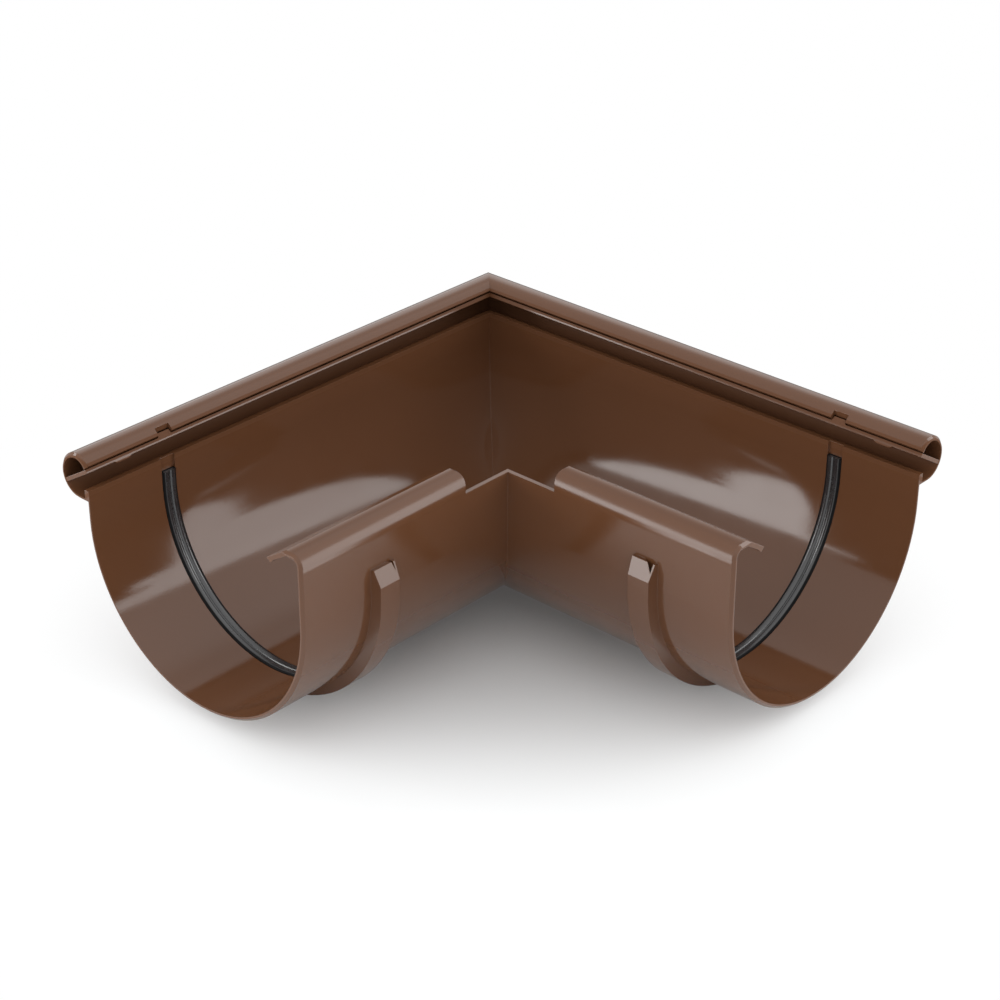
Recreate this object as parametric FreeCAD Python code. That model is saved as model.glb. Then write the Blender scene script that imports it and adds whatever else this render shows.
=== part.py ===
"""External angle for a half-round roof gutter: one moulded body and its two rubber seals.

Two equal legs meet at a right angle. Each leg is a half-round channel that a gutter end
slides into. Its front wall carries a rolled bead, and its rear wall carries a hook lip.
Leg A runs along +X and leg B along -Y. The legs mirror each other, apart from the side and
the width of the small pocket in each band.
Lengths are in millimetres.
"""
import FreeCAD, Part
import math
import os

# Channel
INNER_RADIUS = 59.0        # half of the 118 mm inside width
WALL = 1.8
LEG_LENGTH = 170.0         # from the crossing of the two channel axes to the open end
FRONT_WALL_HEIGHT = 13.0   # top edge of the front wall above the channel axis
REAR_WALL_HEIGHT = 22.2    # top edge of the bare rear wall above the channel axis
RIM_CHAMFER = 1.1          # bevel round the outside of the open end

# Rolled bead on the front wall
BEAD_RADIUS = 9.9          # outside radius of the roll
BEAD_OFFSET = 6.4          # from the front wall's inner face out to the roll's centre
BEAD_RISE = 4.3            # roll's centre above the front wall's top edge
BEAD_WALL = 1.8
CROWN_RADIUS = 7.6         # tighter outside radius where the roll turns down to its tip
CROWN_START = 80.0         # degrees round the roll where the tighter turn begins
CROWN_TIP = 148.0          # degrees round the crown where its outside ends
STUB_WALL = 2.5            # thickened top of the front wall inside the roll

# Sloping web that divides the bead
WEB_THICKNESS = 1.6
WEB_DROP = 2.6             # lower edge of the web's square-cut end below the crown's tip
WEB_SLOPE = 31.4           # degrees below level, going outwards
TIP_GAP = 0.3              # between the web and the crown's pointed tip

# Hook lip on the rear wall
LIP_START = 84.5           # from the crossing of the axes to where the lip begins
LIP_SHOULDER_BASE = 3.3    # straight rise from the bare wall's top to the shoulder
LIP_SHOULDER_RADIUS = 4.5  # outside radius of the shoulder
LIP_CREST = 3.8            # level top between the shoulder and the slope
LIP_REACH = 18.0           # from the rear wall's outer face in to the lip's tip
LIP_SLOPE = 32.5           # degrees below level
LIP_WALL = 1.8
BARB_DEPTH = 1.6           # small barb under the lip's tip
BARB_WIDTH = 3.6

# Seal groove and the raised band round it
GROOVE_FROM_END = 40.0     # from the open end back to the groove's middle
GROOVE_WIDTH = 7.0
GROOVE_DEPTH = 4.3         # from the channel's inner face
GROOVE_TOP = 7.3           # groove's upper end at the front wall, above the axis
BAND_WIDTH = 11.4
BAND_DRAFT = 0.75          # taper of each side of the band
BAND_WALL = 2.0            # skin left behind the groove
BAND_TOP = 10.7            # ledge at the band's upper end on the rear wall, above the axis
BAND_LEDGE = 1.5           # depth of that ledge
BAND_SLOPE = 65.5          # degrees below level from the ledge down to the band's face
RECESS_DEPTH = 1.0         # shallow guide from the groove up to the front wall's edge
POCKET_RIM = 1.2           # left standing beside the pocket in the band's upper end
POCKET_REACH = 3.0         # from the wall out to the pocket's corner
WIDE_POCKET = 5.0          # pocket's width on leg A
NARROW_POCKET = 1.6        # and on leg B

# Window in the crown with its tab, and the catch under the web
WINDOW_REACH = 2.4         # cut back from the crown's tip
TAB_RISE = 1.8             # above the web, in line with its square-cut end
TAB_THICKNESS = 1.4
TAB_CLEARANCE = 0.2        # beside the tab's foot
TAB_TAPER = 0.6            # of each side of the tab
CATCH_FROM_END = 17.9      # from the open end back to the catch's middle
CATCH_LENGTH = 8.8
CATCH_DROP = 0.8
CATCH_RAMP = 1.6           # sloped ends of the catch
CATCH_THICKNESS = 1.4

# Seals
SEAL_CLEARANCE = 0.05      # all round in the groove
SEAL_PROUD = 1.0           # past the channel's inner face
SEAL_TOP_GAP = 0.3         # below the groove's two upper ends
SEAL_SHOULDER = 0.5        # level strip outside each rib
SEAL_FURROW = 0.5          # level strip between the two ribs
SEAL_RIB_RISE = 0.8

OUTER_RADIUS = INNER_RADIUS + WALL
GROOVE_RADIUS = INNER_RADIUS + GROOVE_DEPTH
BAND_RADIUS = GROOVE_RADIUS + BAND_WALL
BEAD_U = INNER_RADIUS + BEAD_OFFSET
BEAD_V = FRONT_WALL_HEIGHT + BEAD_RISE
BEAD_FLOOR = BEAD_V - BEAD_RADIUS
SHOULDER_U = LIP_SHOULDER_RADIUS - OUTER_RADIUS
SHOULDER_V = REAR_WALL_HEIGHT + LIP_SHOULDER_BASE
GROOVE_CENTRE = LEG_LENGTH - GROOVE_FROM_END
GROOVE_START = GROOVE_CENTRE - GROOVE_WIDTH / 2
GROOVE_END = GROOVE_CENTRE + GROOVE_WIDTH / 2
CATCH_CENTRE = LEG_LENGTH - CATCH_FROM_END
OVERLAP = 0.5              # how far fused pieces run into each other
TOUCHING = 0.005           # an edge closer than this to an outline lies on it
ORIGIN = FreeCAD.Vector(0, 0, 0)
X_AXIS = FreeCAD.Vector(1, 0, 0)
Y_AXIS = FreeCAD.Vector(0, 1, 0)
Z_AXIS = FreeCAD.Vector(0, 0, 1)


def at(u, v, x=0.0):
    """Point of leg A's section: u is outwards to the bead, v is up from the channel axis."""
    return FreeCAD.Vector(x, u, v)


def direction(degrees):
    """Unit vector of leg A's section, turned up from outwards."""
    angle = math.radians(degrees)
    return at(math.cos(angle), math.sin(angle))


def arc(centre, radius, start, end):
    angles = (start, (start + end) / 2, end)
    return Part.Arc(*[centre + direction(a) * radius for a in angles]).toShape()


def lines(*points):
    return [Part.LineSegment(a, b).toShape() for a, b in zip(points, points[1:])]


def face(edges):
    return Part.Face(Part.Wire(Part.__sortEdges__(edges)))


def polygon(*points):
    return face(lines(*points, points[0]))


def run(section, start, end):
    """Extrude a section of leg A from one station of the leg to another."""
    moved = section.translated(X_AXIS * start)
    return moved.extrude(X_AXIS * (end - start))


def round_channel(profile, front_top, rear_top):
    """Carry a profile down from a height on the front wall, round, and up the rear wall."""
    bend = profile.revolve(ORIGIN, X_AXIS, -180)
    front = profile.extrude(Z_AXIS * front_top)
    rear = profile.mirror(ORIGIN, Y_AXIS).extrude(Z_AXIS * rear_top)
    return bend.fuse([front, rear]).removeSplitter()


def crown_centre():
    return at(BEAD_U, BEAD_V) + direction(CROWN_START) * (BEAD_RADIUS - CROWN_RADIUS)


def crown_tip():
    """Outer corner of the crown's tip."""
    return crown_centre() + direction(CROWN_TIP) * CROWN_RADIUS


def web_corners():
    """Lower and upper corner of the web's square-cut end."""
    low = at(INNER_RADIUS, crown_tip().z - WEB_DROP)
    return low, low + direction(90 - WEB_SLOPE) * WEB_THICKNESS


def angle_at_web(centre, radius, corner, gap, side):
    """Angle round an arc where it is a gap above the web's line through a corner.

    side is 1 for the arc's outer end of the web and -1 for its inner end.
    """
    square = direction(90 - WEB_SLOPE)
    turn = math.degrees(math.asin((gap - square.dot(centre - corner)) / radius))
    return turn - WEB_SLOPE if side > 0 else 180 - WEB_SLOPE - turn


def outside_edges():
    """Outside of the channel's section, from the crown's tip round to the rear wall's top."""
    bead = at(BEAD_U, BEAD_V)
    return [
        arc(crown_centre(), CROWN_RADIUS, CROWN_START, CROWN_TIP),
        arc(bead, BEAD_RADIUS, -90, CROWN_START),
        *lines(at(BEAD_U, BEAD_FLOOR), at(OUTER_RADIUS, BEAD_FLOOR), at(OUTER_RADIUS, 0)),
        arc(ORIGIN, OUTER_RADIUS, 180, 360),
        *lines(at(-OUTER_RADIUS, 0), at(-OUTER_RADIUS, REAR_WALL_HEIGHT)),
    ]


def inside_edges():
    """Inside of the section, from the rear wall's top round to the crown's tip."""
    bead = at(BEAD_U, BEAD_V)
    roll = BEAD_RADIUS - BEAD_WALL
    crown = crown_centre()
    curl = CROWN_RADIUS - BEAD_WALL
    low, high = web_corners()
    low_angle = angle_at_web(bead, roll, low, 0, 1)
    high_angle = angle_at_web(bead, roll, high, 0, 1)
    tip_angle = angle_at_web(crown, curl, high, TIP_GAP, -1)
    floor = BEAD_FLOOR + BEAD_WALL
    stub = INNER_RADIUS + STUB_WALL
    return [
        *lines(at(-OUTER_RADIUS, REAR_WALL_HEIGHT), at(-INNER_RADIUS, REAR_WALL_HEIGHT),
               at(-INNER_RADIUS, 0)),
        arc(ORIGIN, INNER_RADIUS, 180, 360),
        *lines(at(INNER_RADIUS, 0), at(INNER_RADIUS, FRONT_WALL_HEIGHT),
               at(stub, FRONT_WALL_HEIGHT), at(stub, floor), at(BEAD_U, floor)),
        arc(bead, roll, -90, low_angle),
        *lines(bead + direction(low_angle) * roll, low, high, bead + direction(high_angle) * roll),
        arc(bead, roll, high_angle, CROWN_START),
        arc(crown, curl, CROWN_START, tip_angle),
        *lines(crown + direction(tip_angle) * curl, crown_tip()),
    ]


def lip_section():
    """Hook lip: a rounded shoulder, a level crest, a slope inwards and a barb at the tip."""
    slope = math.tan(math.radians(LIP_SLOPE))
    under = LIP_WALL / math.cos(math.radians(LIP_SLOPE))
    bend = LIP_WALL * math.tan(math.radians(LIP_SLOPE) / 2)
    crest_v = SHOULDER_V + LIP_SHOULDER_RADIUS
    crest_u = SHOULDER_U + LIP_CREST
    tip_u = LIP_REACH - OUTER_RADIUS
    tip_v = crest_v - slope * (tip_u - crest_u)
    heel_u = tip_u - BARB_WIDTH
    heel_v = crest_v - slope * (heel_u - crest_u) - under
    barb = at(tip_u - BARB_WIDTH / 2, tip_v - BARB_DEPTH)
    shoulder = at(SHOULDER_U, SHOULDER_V)
    return face([
        *lines(at(-INNER_RADIUS, SHOULDER_V), at(-INNER_RADIUS, REAR_WALL_HEIGHT),
               at(-OUTER_RADIUS, REAR_WALL_HEIGHT), at(-OUTER_RADIUS, SHOULDER_V)),
        arc(shoulder, LIP_SHOULDER_RADIUS, 90, 180),
        *lines(at(SHOULDER_U, crest_v), at(crest_u, crest_v), at(tip_u, tip_v), barb,
               at(heel_u, heel_v), at(crest_u - bend, crest_v - LIP_WALL),
               at(SHOULDER_U, crest_v - LIP_WALL)),
        arc(shoulder, LIP_SHOULDER_RADIUS - LIP_WALL, 90, 180),
    ])


def band_drop(proud):
    """How far the band's upper end has come down from its ledge, at a distance out from the wall."""
    return math.tan(math.radians(BAND_SLOPE)) * (proud - BAND_LEDGE)


def groove_rear_top():
    """Groove's upper end at the rear wall, a band wall below the band's sloping end."""
    skin = BAND_WALL / math.cos(math.radians(BAND_SLOPE))
    return BAND_TOP - band_drop(GROOVE_DEPTH - WALL) - skin


def band():
    """Raised band that houses the groove, with a ledge and a slope at its rear end."""
    base = BAND_WIDTH / 2
    crest = base - BAND_DRAFT
    root = INNER_RADIUS + OVERLAP
    profile = polygon(at(root, 0, -base), at(OUTER_RADIUS, 0, -base), at(BAND_RADIUS, 0, -crest),
                      at(BAND_RADIUS, 0, crest), at(OUTER_RADIUS, 0, base), at(root, 0, base))
    ring = round_channel(profile, BEAD_FLOOR + OVERLAP, BAND_TOP)
    low = BAND_TOP - band_drop(BAND_RADIUS - OUTER_RADIUS)
    far = -BAND_RADIUS - OVERLAP
    sloped = polygon(at(-OUTER_RADIUS - BAND_LEDGE, BAND_TOP), at(-BAND_RADIUS, low),
                     at(far, low), at(far, BAND_TOP + OVERLAP),
                     at(-OUTER_RADIUS - BAND_LEDGE, BAND_TOP + OVERLAP))
    return ring.cut(run(sloped, -base, base)).translated(X_AXIS * GROOVE_CENTRE)


def groove():
    half = GROOVE_WIDTH / 2
    open_side = INNER_RADIUS - OVERLAP
    profile = polygon(at(open_side, 0, -half), at(GROOVE_RADIUS, 0, -half),
                      at(GROOVE_RADIUS, 0, half), at(open_side, 0, half))
    return round_channel(profile, GROOVE_TOP, groove_rear_top()).translated(X_AXIS * GROOVE_CENTRE)


def recess():
    """Shallow guide above the groove, up to the front wall's top edge."""
    outline = polygon(at(INNER_RADIUS - OVERLAP, GROOVE_TOP - OVERLAP),
                      at(INNER_RADIUS + RECESS_DEPTH, GROOVE_TOP - OVERLAP),
                      at(INNER_RADIUS + RECESS_DEPTH, FRONT_WALL_HEIGHT + OVERLAP),
                      at(INNER_RADIUS - OVERLAP, FRONT_WALL_HEIGHT + OVERLAP))
    return run(outline, GROOVE_START, GROOVE_END)


def pocket(side, width):
    """Small three-cornered pocket in the band's upper end, on one side of the groove."""
    edge = GROOVE_CENTRE + side * (BAND_WIDTH / 2 - POCKET_RIM)
    inner = edge - side * width
    floor = groove_rear_top() + WALL
    outline = polygon(at(-OUTER_RADIUS, floor, edge), at(-OUTER_RADIUS, floor, inner),
                      at(-OUTER_RADIUS - POCKET_REACH, floor, edge))
    return outline.extrude(Z_AXIS * (BAND_TOP + OVERLAP - floor))


def window():
    """Opening in the crown's tip above the seal, down to the web."""
    tip = crown_tip()
    corner = web_corners()[1]
    square = direction(90 - WEB_SLOPE) * (TIP_GAP / 2)
    down = direction(-WEB_SLOPE) / math.cos(math.radians(WEB_SLOPE))
    near = tip.y - OVERLAP
    far = tip.y + WINDOW_REACH
    low_near = corner + square + down * (near - corner.y)
    low_far = corner + square + down * (far - corner.y)
    high = BEAD_V + BEAD_RADIUS + OVERLAP
    outline = polygon(low_near, low_far, at(far, high), at(near, high))
    return run(outline, GROOVE_START, GROOVE_END)


def tab():
    """Tongue that stands in the window, its face in line with the web's square-cut end."""
    low, corner = web_corners()
    rise = direction(90 - WEB_SLOPE)
    foot = GROOVE_WIDTH / 2 - TAB_CLEARANCE
    head = foot - TAB_TAPER
    base = (low + corner) / 2
    top = corner + rise * TAB_RISE
    corners = [base + X_AXIS * (GROOVE_CENTRE - foot), base + X_AXIS * (GROOVE_CENTRE + foot),
               corner + X_AXIS * (GROOVE_CENTRE + foot), top + X_AXIS * (GROOVE_CENTRE + head),
               top + X_AXIS * (GROOVE_CENTRE - head), corner + X_AXIS * (GROOVE_CENTRE - foot)]
    return polygon(*corners).extrude(direction(-WEB_SLOPE) * TAB_THICKNESS)


def catch():
    """Small tooth under the web's free edge, with ramped ends, in line with the edge."""
    low, corner = web_corners()
    fall = direction(90 - WEB_SLOPE) * -CATCH_DROP
    half = CATCH_LENGTH / 2
    middle = (low + corner) / 2
    corners = [middle + X_AXIS * (CATCH_CENTRE - half), low + X_AXIS * (CATCH_CENTRE - half),
               low + fall + X_AXIS * (CATCH_CENTRE - half + CATCH_RAMP),
               low + fall + X_AXIS * (CATCH_CENTRE + half - CATCH_RAMP),
               low + X_AXIS * (CATCH_CENTRE + half), middle + X_AXIS * (CATCH_CENTRE + half)]
    return polygon(*corners).extrude(direction(-WEB_SLOPE) * CATCH_THICKNESS)


def bevelled(solid):
    """Bevel the outside of the open end, which carries on round the lip's shoulder to its ridge."""
    outline = Part.Compound(outside_edges()).translated(X_AXIS * LEG_LENGTH)
    rim = []
    for edge in solid.Edges:
        middle = edge.valueAt((edge.FirstParameter + edge.LastParameter) / 2)
        if Part.Vertex(middle).distToShape(outline)[0] < TOUCHING:
            rim.append(edge)
    return solid.makeChamfer(RIM_CHAMFER, rim)


def mitre(solid):
    """Keep the part of a leg on its own side of the upright mitre plane."""
    far = LEG_LENGTH + BEAD_U + BEAD_RADIUS
    corners = [FreeCAD.Vector(-far, far, -far), FreeCAD.Vector(far, -far, -far),
               FreeCAD.Vector(far, far, -far)]
    return solid.common(polygon(*corners).extrude(Z_AXIS * (3 * far)))


def leg(pocket_side, pocket_width):
    """One leg of the angle along +X, cut at the mitre."""
    section = face(outside_edges() + inside_edges())
    body = mitre(run(section, -BEAD_U - 2 * BEAD_RADIUS, LEG_LENGTH))
    body = bevelled(body.fuse(run(lip_section(), LIP_START, LEG_LENGTH)).removeSplitter())
    body = body.fuse([band(), catch()])
    for tool in (groove(), recess(), window(), pocket(pocket_side, pocket_width)):
        body = body.cut(tool)
    return body.fuse(tab())


def seal_profile():
    """Seal's section across the groove, at the front wall: two ribs with a furrow between."""
    half = GROOVE_WIDTH / 2 - SEAL_CLEARANCE
    back = GROOVE_RADIUS - SEAL_CLEARANCE
    rib = (half - SEAL_SHOULDER - SEAL_FURROW / 2) / 2
    crest = INNER_RADIUS - SEAL_PROUD
    base = crest + SEAL_RIB_RISE
    centre = SEAL_FURROW / 2 + rib
    edges = lines(at(base, 0, -centre - rib), at(base, 0, -half), at(back, 0, -half),
                  at(back, 0, half), at(base, 0, half), at(base, 0, centre + rib))
    edges += lines(at(base, 0, -SEAL_FURROW / 2), at(base, 0, SEAL_FURROW / 2))
    for middle in (-centre, centre):
        points = at(base, 0, middle - rib), at(crest, 0, middle), at(base, 0, middle + rib)
        edges.append(Part.Arc(*points).toShape())
    return face(edges)


def seal():
    """Rubber seal that follows leg A's groove down one wall, round and up the other."""
    whole = round_channel(seal_profile(), GROOVE_TOP - SEAL_TOP_GAP, groove_rear_top() - SEAL_TOP_GAP)
    return whole.translated(X_AXIS * GROOVE_CENTRE)


def mirrored(shape):
    """Leg A's shape reflected in the mitre plane, which gives leg B's."""
    return shape.mirror(ORIGIN, FreeCAD.Vector(1, 1, 0))


def placed(shape):
    """Move from the channel axes to the middle of the underside of the overall box."""
    middle = (LEG_LENGTH - BEAD_U - BEAD_RADIUS) / 2
    return shape.translated(FreeCAD.Vector(-middle, middle, BAND_RADIUS))


def main():
    os.makedirs("parts", exist_ok=True)
    leg_a = leg(1, WIDE_POCKET)
    leg_b = mirrored(leg(-1, NARROW_POCKET))
    nodes = {
        "angle_body": leg_a.fuse(leg_b).removeSplitter(),
        "seal_a": seal(),
        "seal_b": mirrored(seal()),
    }
    for name, shape in nodes.items():
        shape = placed(shape)
        box = shape.BoundBox
        print(name, shape.isValid(), len(shape.Solids), round(shape.Volume, 1),
              [round(n, 2) for n in (box.XMin, box.YMin, box.ZMin, box.XMax, box.YMax, box.ZMax)])
        shape.exportStep("parts/" + name + ".step")


main()
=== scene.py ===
import math

import bpy
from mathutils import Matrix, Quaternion, Vector

# Camera: a long lens a little under a metre away, looking down into the inner side of the corner.
# Places are in metres, the lens and its sensor in millimetres.
CAMERA_PLACE = (0.55843, -0.61544, 0.5192)
CAMERA_FORWARD = (-0.5912506, 0.64825665, -0.47977707)
CAMERA_ROLL = math.radians(0.097)
CAMERA_LENS = 86.03
SENSOR_WIDTH = 36.0

# Light: a white dome with three brighter lobes and a darker one, and one soft box on each side.
# A lobe points at an azimuth, counted from +X towards +Y, and a height, in degrees. Its gain is
# whole up to "full" degrees from there and fades out at "gone". Front is where the camera is.
DOME_LIGHT = 0.864
FRONT_GLOW = dict(azimuth=-46.0, height=50.0, full=20.0, gone=70.0, gain=0.36)
BACK_GLOW = dict(azimuth=138.0, height=19.0, full=10.0, gone=28.0, gain=0.52)
BACK_SHADE = dict(azimuth=132.0, height=-38.0, full=28.0, gone=44.0, gain=-0.6)
SIDE_GLOW = dict(azimuth=65.0, height=47.0, full=12.0, gone=32.0, gain=0.4)
BACKDROP_WHITE = 1.0
LEFT_BOX = dict(place=(-0.86, -1.02, 0.20), size=(1.10, 1.10), aim=(1.0, 0.22, 0.0), radiance=4.8)
RIGHT_BOX = dict(place=(0.86, 0.80, 0.30), size=(0.90, 1.20), aim=(-0.574, -0.819, 0.0), radiance=2.8)

# Places on a leg, in metres along it, across it and up. The legs mirror each other and share them.
ROLL_AXIS = (0.11275, 0.0826)            # across and up
ROLL_INNER_FACE = (0.0074, 0.0090)       # between these radii round the roll's axis
WEB_EDGE_ACROSS = (0.1060, 0.1069)
WEB_EDGE_UP = (0.0855, 0.0892)
WEB_SHADE_STATIONS = (-0.090, -0.074)     # along: gloss fully turned down as painted shade up to the first, not at all from the second
LIP_ROUND_AXIS = (-0.00545, 0.0876)      # across and up
LIP_START = 0.0372                       # along
LIP_FACING = (0.80, 0.90)                # cosine between the lip's normal and the round's
BAND_END_LEVELS = (0.060, 0.0775)        # up
BAND_END_NORMAL_Z = (0.37, 0.46)         # upward part of the sloping end faces' normal
BAND_END_CROWN = 0.105                   # added to that part, a lean of about 5 degrees
SEAL_STATION = 0.08265                   # along: the middle of the seal
SEAL_FLANK = (0.0022, 0.0028)            # from that middle: where the ribs end, and where the flank is

# Floor. Its spans are distances from the origin, over which the floor turns white to the camera
# and clear to reflections.
FLOOR_SIZE = 8.0
FLOOR_COLOUR = (0.905, 0.92, 0.925, 1.0)
WHITE_SPAN = (0.03, 0.29)
CLEAR_SPAN = (0.15, 0.29)

# Edges: a rounded normal that leans away from the true one. The cosines are those of a face and
# of a full edge.
EDGE_RADIUS = 0.00025
EDGE_SAMPLES = 4
EDGE_COSINES = (0.97, 0.80)

# Finishes. Colours are linear and tints multiply them. A noise is scale, detail and roughness, a
# bump is strength and distance, a range is what goes in, low and high, and what comes out, and a
# specular pair is the level where glossy and where the gloss is turned down as painted shade.
PVC_BROWN = (0.105, 0.0433, 0.0195)
PVC_IOR = 1.5
PVC_CLOUD_NOISE = (22.0, 4.0)
PVC_CLOUD_TINTS = (0.96, 1.05)
PVC_SCUFF_NOISE = (180.0, 3.0)
PVC_SCUFFS = (0.35, 0.7, 0.1, 0.4)
PVC_SCUFF_TINT = 2.2
PVC_GLOSS_NOISE = (60.0, 5.0, 0.6)
PVC_ROUGHNESS = (0.3, 0.7, 0.09, 0.13)
PVC_SCUFF_ROUGHER = 0.2
# Rougher where the gloss is turned down as painted shade
PVC_SHADE_ROUGHER = 0.38
PVC_LIP_ROUGHER = 0.09
PVC_RIPPLE_NOISE = (900.0, 2.0)
PVC_RIPPLE_BUMP = (0.05, 0.0002)
PVC_SPECULAR = (0.5, 0.12)

RUBBER_BLACK = (0.010, 0.010, 0.011)
RUBBER_IOR = 1.75
RUBBER_DUST_NOISE = (140.0, 5.0, 0.6)
RUBBER_DUST = (0.45, 0.75, 0.0, 0.35)
RUBBER_CLEAN_TINT = 1.6
RUBBER_DUST_TINT = 3.0
# The flanks are painted darker, rougher and less glossy: painted shade on the seal's sides
RUBBER_FLANK_SHADE = 0.4
RUBBER_ROUGHNESS = 0.22
RUBBER_DUST_ROUGHER = 0.3
RUBBER_FLANK_ROUGHER = 0.4
RUBBER_GRAIN_NOISE = (1600.0, 3.0)
RUBBER_GRAIN_BUMP = (0.15, 0.0002)
RUBBER_SPECULAR = (0.5, 0.08)


class Nodes:
    """Adds shader nodes to a material or world and links them.

    The values that nodes take are constants or other nodes' outputs.
    """

    # A Mix node has sockets of its own for each type of data: first input, second input, output
    MIX_SOCKETS = {"RGBA": (6, 7, 2), "VECTOR": (4, 5, 1)}

    def __init__(self, tree):
        self.tree = tree
        tree.nodes.clear()

    def add(self, kind, **values):
        node = self.tree.nodes.new(kind)
        for name, value in values.items():
            setattr(node, name, value)
        return node

    def link(self, source, target):
        self.tree.links.new(source, target)

    def plug(self, target, value):
        """Sets a socket to a constant, or links it when the value is another node's output."""
        if isinstance(value, bpy.types.NodeSocket):
            self.link(value, target)
        else:
            target.default_value = value

    def math(self, operation, a, b=0.0):
        node = self.add("ShaderNodeMath", operation=operation)
        self.plug(node.inputs[0], a)
        self.plug(node.inputs[1], b)
        return node.outputs[0]

    def product(self, value, *factors):
        for factor in factors:
            value = self.math("MULTIPLY", value, factor)
        return value

    def between(self, value, low, high):
        """1 where the value lies between low and high, otherwise 0."""
        return self.product(self.math("GREATER_THAN", value, low), self.math("LESS_THAN", value, high))

    def span(self, value, low, high, to_low=0.0, to_high=1.0):
        """Smoothly maps low..high to to_low..to_high."""
        node = self.add("ShaderNodeMapRange", interpolation_type="SMOOTHSTEP")
        self.plug(node.inputs["Value"], value)
        node.inputs["From Min"].default_value = low
        node.inputs["From Max"].default_value = high
        node.inputs["To Min"].default_value = to_low
        node.inputs["To Max"].default_value = to_high
        return node.outputs["Result"]

    def vector_math(self, operation, *values):
        """A number for a length or a dot product, otherwise a vector."""
        node = self.add("ShaderNodeVectorMath", operation=operation)
        for socket, value in zip(node.inputs, values):
            self.plug(socket, value)
        return node.outputs["Value" if operation in ("LENGTH", "DOT_PRODUCT") else "Vector"]

    def combine(self, x=0.0, y=0.0, z=0.0):
        node = self.add("ShaderNodeCombineXYZ")
        for socket, value in zip(node.inputs, (x, y, z)):
            self.plug(socket, value)
        return node.outputs[0]

    def split(self, vector):
        node = self.add("ShaderNodeSeparateXYZ")
        self.link(vector, node.inputs[0])
        return node.outputs

    def mix(self, kind, factor, a, b):
        """Mixes two colours, kind RGBA, or two vectors, kind VECTOR."""
        node = self.add("ShaderNodeMix", data_type=kind)
        first, second, output = self.MIX_SOCKETS[kind]
        self.plug(node.inputs[0], factor)
        self.plug(node.inputs[first], a)
        self.plug(node.inputs[second], b)
        return node.outputs[output]

    def mix_shaders(self, factor, a, b):
        node = self.add("ShaderNodeMixShader")
        for socket, source in zip(node.inputs, (factor, a, b)):
            self.link(source, socket)
        return node.outputs[0]

    def noise(self, where, scale, detail, roughness=0.5):
        node = self.add("ShaderNodeTexNoise")
        self.link(where, node.inputs["Vector"])
        node.inputs["Scale"].default_value = scale
        node.inputs["Detail"].default_value = detail
        node.inputs["Roughness"].default_value = roughness
        return node.outputs["Fac"]

    def bump(self, height, strength, distance, normal=None):
        node = self.add("ShaderNodeBump")
        self.link(height, node.inputs["Height"])
        node.inputs["Strength"].default_value = strength
        node.inputs["Distance"].default_value = distance
        if normal is not None:
            self.link(normal, node.inputs["Normal"])
        return node.outputs["Normal"]

    def output(self, shader, kind="ShaderNodeOutputMaterial"):
        self.link(shader, self.add(kind).inputs["Surface"])


def shade(colour, factor):
    return tuple(c * factor for c in colour) + (1.0,)


def new_material(name):
    material = bpy.data.materials.new(name)
    material.use_nodes = True
    return material, Nodes(material.node_tree)


def object_place(nodes):
    return nodes.add("ShaderNodeTexCoord").outputs["Object"]


def leg_place(nodes, where):
    """Sockets for the place along, across and up a leg, and 1 on leg A or 0 on leg B."""
    x, y, up = nodes.split(where)
    minus_x = nodes.math("MULTIPLY", x, -1.0)
    minus_y = nodes.math("MULTIPLY", y, -1.0)
    on_a = nodes.math("GREATER_THAN", y, minus_x)
    return nodes.math("MAXIMUM", x, minus_y), nodes.math("MAXIMUM", y, minus_x), up, on_a


def inside_roll(nodes, across, up):
    """1 on the inner face of the rolled bead, where the gloss is turned down as painted shade, which also
    hides faceted reflections there.
    """
    from_axis = nodes.combine(nodes.math("SUBTRACT", across, ROLL_AXIS[0]),
                              nodes.math("SUBTRACT", up, ROLL_AXIS[1]))
    return nodes.between(nodes.vector_math("LENGTH", from_axis), *ROLL_INNER_FACE)


def web_edge_near_corner(nodes, along, across, up):
    """1 on the web's square-cut edge at the corner, where it is seen dark, fading outwards: there the
    gloss is turned down as painted shade.
    """
    edge = nodes.product(nodes.between(across, *WEB_EDGE_ACROSS), nodes.between(up, *WEB_EDGE_UP))
    return nodes.product(edge, nodes.span(along, *WEB_SHADE_STATIONS, 1.0, 0.0))


def lip_round(nodes, place, normal):
    """Shades the lip's crest and shoulder as one wide round about a single axis.

    Returns the new normal and the share of it that comes from the round.
    """
    along, across, up, on_a = place
    out = nodes.math("SUBTRACT", across, LIP_ROUND_AXIS[0])
    rise = nodes.math("SUBTRACT", up, LIP_ROUND_AXIS[1])
    # Out points along +Y on leg A and along -X on leg B
    from_axis = nodes.combine(nodes.product(out, nodes.math("SUBTRACT", on_a, 1.0)),
                              nodes.product(out, on_a), rise)
    round_normal = nodes.vector_math("NORMALIZE", from_axis)
    facing = nodes.vector_math("DOT_PRODUCT", round_normal, normal)
    share = nodes.product(nodes.math("GREATER_THAN", along, LIP_START), nodes.math("LESS_THAN", out, 0.0),
                          nodes.math("GREATER_THAN", rise, 0.0), nodes.span(facing, *LIP_FACING))
    return nodes.mix("VECTOR", share, normal, round_normal), share


def band_end_crown(nodes, up, true_normal, normal):
    """Leans the shading of the bands' sloping end faces up a little, as on a crowned face."""
    here = nodes.product(nodes.between(up, *BAND_END_LEVELS),
                         nodes.between(nodes.split(true_normal)[2], *BAND_END_NORMAL_Z))
    lift = nodes.combine(z=nodes.product(here, BAND_END_CROWN))
    return nodes.vector_math("NORMALIZE", nodes.vector_math("ADD", normal, lift))


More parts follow.
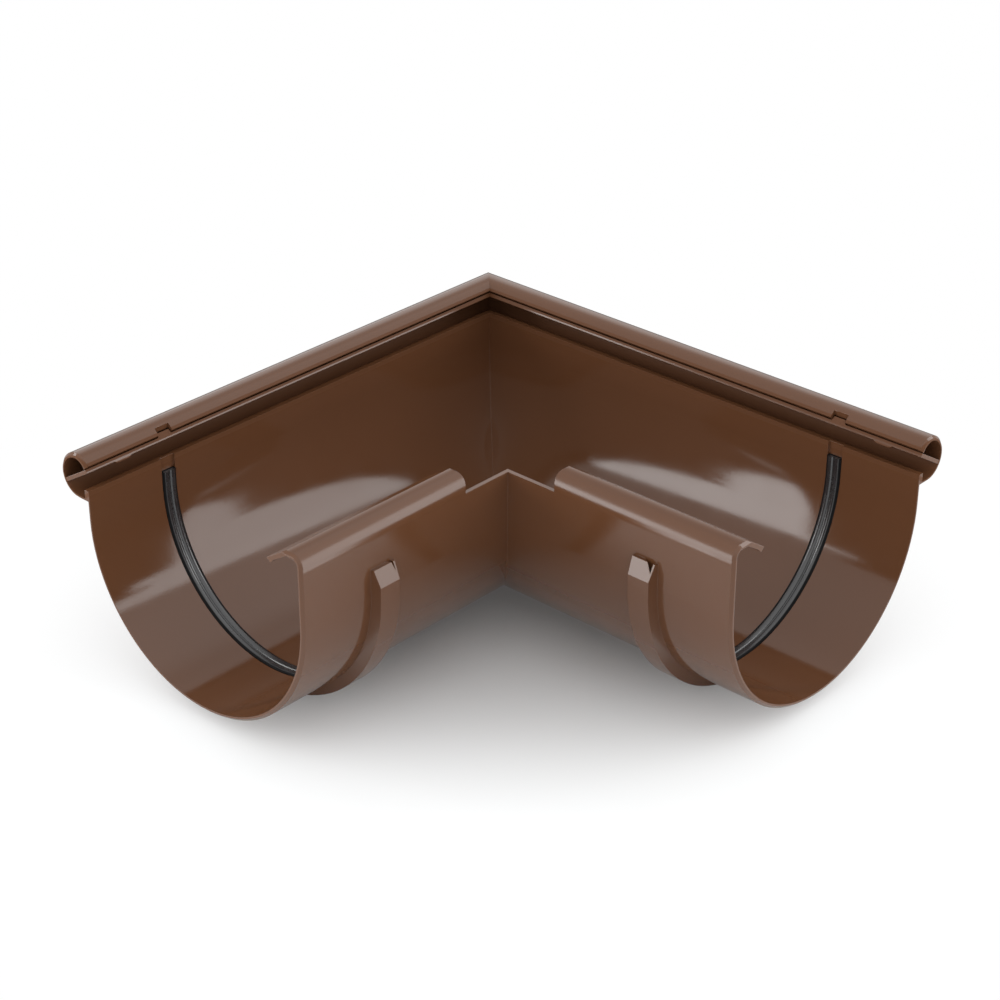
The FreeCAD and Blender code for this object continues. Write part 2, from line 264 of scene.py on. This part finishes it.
def edge_mask(nodes):
    """1 along sharp edges and 0 on faces, then the rounded normal and the true one."""
    bevel = nodes.add("ShaderNodeBevel", samples=EDGE_SAMPLES)
    bevel.inputs["Radius"].default_value = EDGE_RADIUS
    rounded = bevel.outputs["Normal"]
    true_normal = nodes.add("ShaderNodeNewGeometry").outputs["Normal"]
    leaning = nodes.vector_math("DOT_PRODUCT", rounded, true_normal)
    return nodes.span(leaning, *EDGE_COSINES), rounded, true_normal


def rougher(nodes, roughness, *causes):
    """Adds to a roughness for each cause: a mask and the amount where the mask is 1."""
    for mask, amount in causes:
        roughness = nodes.math("ADD", roughness, nodes.product(mask, amount))
    return roughness


def principled(nodes, ior, colour, roughness, painted_shade, specular, normal):
    """Ends a material in a shader whose specular level is lower where shade is painted in."""
    shader = nodes.add("ShaderNodeBsdfPrincipled")
    shader.inputs["IOR"].default_value = ior
    nodes.link(colour, shader.inputs["Base Color"])
    nodes.link(roughness, shader.inputs["Roughness"])
    nodes.link(nodes.span(painted_shade, 0.0, 1.0, *specular), shader.inputs["Specular IOR Level"])
    nodes.link(normal, shader.inputs["Normal"])
    nodes.output(shader.outputs[0])


def pvc():
    """Glossy chocolate-brown PVC: faint cloudy colour, fine moulded ripple and paler rubbed edges, with
    painted shade inside the rolled bead and on the web's edge near the corner, where the gloss is turned
    down.
    """
    material, nodes = new_material("pvc_look")
    where = object_place(nodes)
    place = leg_place(nodes, where)
    along, across, up = place[:3]
    edges, rounded, true_normal = edge_mask(nodes)
    lip_normal, on_lip = lip_round(nodes, place, rounded)
    smooth = band_end_crown(nodes, up, true_normal, lip_normal)
    # Painted shade: inside the rolled bead and on the web's edge near the corner, the gloss is turned
    # down and the surface made rougher
    painted_shade = nodes.math("MAXIMUM", inside_roll(nodes, across, up),
                      web_edge_near_corner(nodes, along, across, up))
    cloud = nodes.noise(where, *PVC_CLOUD_NOISE)
    plain = nodes.mix("RGBA", cloud, *(shade(PVC_BROWN, tint) for tint in PVC_CLOUD_TINTS))
    scuffs = nodes.product(edges, nodes.span(nodes.noise(where, *PVC_SCUFF_NOISE), *PVC_SCUFFS))
    colour = nodes.mix("RGBA", scuffs, plain, shade(PVC_BROWN, PVC_SCUFF_TINT))
    gloss = nodes.span(nodes.noise(where, *PVC_GLOSS_NOISE), *PVC_ROUGHNESS)
    roughness = rougher(nodes, gloss, (scuffs, PVC_SCUFF_ROUGHER), (painted_shade, PVC_SHADE_ROUGHER),
                        (on_lip, PVC_LIP_ROUGHER))
    normal = nodes.bump(nodes.noise(where, *PVC_RIPPLE_NOISE), *PVC_RIPPLE_BUMP, smooth)
    principled(nodes, PVC_IOR, colour, roughness, painted_shade, PVC_SPECULAR, normal)
    return material


def rubber():
    """Black rubber with a fine grain and a little pale dust: ribs with a sheen, and flanks darker and
    less glossy as painted shade.
    """
    material, nodes = new_material("rubber_look")
    where = object_place(nodes)
    along = leg_place(nodes, where)[0]
    from_middle = nodes.math("ABSOLUTE", nodes.math("SUBTRACT", along, SEAL_STATION))
    # Painted shade: the seal's flanks are darker and their gloss is turned down
    flank = nodes.span(from_middle, *SEAL_FLANK)
    dust = nodes.span(nodes.noise(where, *RUBBER_DUST_NOISE), *RUBBER_DUST)
    dusty = nodes.mix("RGBA", dust, shade(RUBBER_BLACK, RUBBER_CLEAN_TINT),
                      shade(RUBBER_BLACK, RUBBER_DUST_TINT))
    colour = nodes.mix("RGBA", flank, dusty, shade(RUBBER_BLACK, RUBBER_FLANK_SHADE))
    roughness = rougher(nodes, RUBBER_ROUGHNESS, (dust, RUBBER_DUST_ROUGHER),
                        (flank, RUBBER_FLANK_ROUGHER))
    normal = nodes.bump(nodes.noise(where, *RUBBER_GRAIN_NOISE), *RUBBER_GRAIN_BUMP)
    principled(nodes, RUBBER_IOR, colour, roughness, flank, RUBBER_SPECULAR, normal)
    return material


def dress(frame):
    """Gives each CAD node its finish."""
    body_look, seal_look = pvc(), rubber()
    for name, look in (("angle_body", body_look), ("seal_a", seal_look), ("seal_b", seal_look)):
        frame["nodes"][name].material_slots[0].material = look


def floor_material():
    """Pale floor that keeps the shadow. Away from the object it turns white and leaves no reflection."""
    material, nodes = new_material("floor")
    away = nodes.vector_math("LENGTH", object_place(nodes))
    ray = nodes.add("ShaderNodeLightPath").outputs
    diffuse = nodes.add("ShaderNodeBsdfDiffuse")
    diffuse.inputs["Color"].default_value = FLOOR_COLOUR
    clear = nodes.add("ShaderNodeBsdfTransparent")
    white = nodes.add("ShaderNodeEmission")
    white.inputs["Strength"].default_value = BACKDROP_WHITE
    clear_share = nodes.product(nodes.span(away, *CLEAR_SPAN), ray["Is Glossy Ray"])
    white_share = nodes.product(nodes.span(away, *WHITE_SPAN), ray["Is Camera Ray"])
    ground = nodes.mix_shaders(clear_share, diffuse.outputs[0], clear.outputs[0])
    nodes.output(nodes.mix_shaders(white_share, ground, white.outputs[0]))
    return material


def make_floor():
    half = FLOOR_SIZE / 2
    mesh = bpy.data.meshes.new("floor")
    outline = [(-half, -half, 0), (half, -half, 0), (half, half, 0), (-half, half, 0)]
    mesh.from_pydata(outline, [], [(0, 1, 2, 3)])
    mesh.materials.append(floor_material())
    floor = bpy.data.objects.new("floor", mesh)
    bpy.context.scene.collection.objects.link(floor)


def glow(nodes, heading, azimuth, height, full, gone, gain):
    """More light from one side of the dome, or less where gain is negative, fading outwards."""
    turn, lift = math.radians(azimuth), math.radians(height)
    towards = (math.cos(turn) * math.cos(lift), math.sin(turn) * math.cos(lift), math.sin(lift))
    facing = nodes.vector_math("DOT_PRODUCT", heading, towards)
    inner, outer = math.cos(math.radians(full)), math.cos(math.radians(gone))
    return nodes.span(facing, outer, inner, 0.0, gain)


def make_world():
    """The dome for all light, and plain white behind everything for the camera."""
    world = bpy.data.worlds.new("studio")
    bpy.context.scene.world = world
    world.use_nodes = True
    nodes = Nodes(world.node_tree)
    heading = nodes.add("ShaderNodeTexCoord").outputs["Generated"]
    light = DOME_LIGHT
    for lobe in (FRONT_GLOW, BACK_GLOW, BACK_SHADE, SIDE_GLOW):
        light = nodes.math("ADD", glow(nodes, heading, **lobe), light)
    strength = nodes.add("ShaderNodeMapRange")
    nodes.link(nodes.add("ShaderNodeLightPath").outputs["Is Camera Ray"], strength.inputs["Value"])
    nodes.link(light, strength.inputs["To Min"])
    strength.inputs["To Max"].default_value = BACKDROP_WHITE
    background = nodes.add("ShaderNodeBackground")
    background.inputs["Color"].default_value = (1.0, 1.0, 1.0, 1.0)
    nodes.link(strength.outputs["Result"], background.inputs["Strength"])
    nodes.output(background.outputs[0], "ShaderNodeOutputWorld")


def soft_box(name, place, size, aim, radiance):
    """A rectangular lamp of the given radiance that shines along aim."""
    lamp = bpy.data.lights.new(name, "AREA")
    lamp.shape = "RECTANGLE"
    lamp.size, lamp.size_y = size
    lamp.energy = radiance * math.pi * size[0] * size[1]
    box = bpy.data.objects.new(name, lamp)
    box.location = place
    box.rotation_mode = "QUATERNION"
    box.rotation_quaternion = Vector(aim).to_track_quat("-Z", "Y")
    box.visible_camera = False
    bpy.context.scene.collection.objects.link(box)


def make_camera():
    data = bpy.data.cameras.new("camera")
    data.lens = CAMERA_LENS
    data.sensor_width = SENSOR_WIDTH
    camera = bpy.data.objects.new("camera", data)
    camera.location = CAMERA_PLACE
    camera.rotation_mode = "QUATERNION"
    level = Vector(CAMERA_FORWARD).to_track_quat("-Z", "Y")
    camera.rotation_quaternion = level @ Quaternion((0, 0, 1), CAMERA_ROLL)
    bpy.context.scene.collection.objects.link(camera)
    bpy.context.scene.camera = camera


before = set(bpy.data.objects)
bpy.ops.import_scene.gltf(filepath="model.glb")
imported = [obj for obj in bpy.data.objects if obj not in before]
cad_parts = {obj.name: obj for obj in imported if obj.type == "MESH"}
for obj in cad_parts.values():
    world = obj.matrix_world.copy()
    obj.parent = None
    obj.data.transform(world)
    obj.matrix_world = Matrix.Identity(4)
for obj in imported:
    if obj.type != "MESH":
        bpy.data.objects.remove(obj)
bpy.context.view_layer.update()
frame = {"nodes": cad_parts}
dress(frame)
make_floor()
make_world()
soft_box("left_box", **LEFT_BOX)
soft_box("right_box", **RIGHT_BOX)
make_camera()
bpy.context.scene.view_settings.view_transform = "Standard"
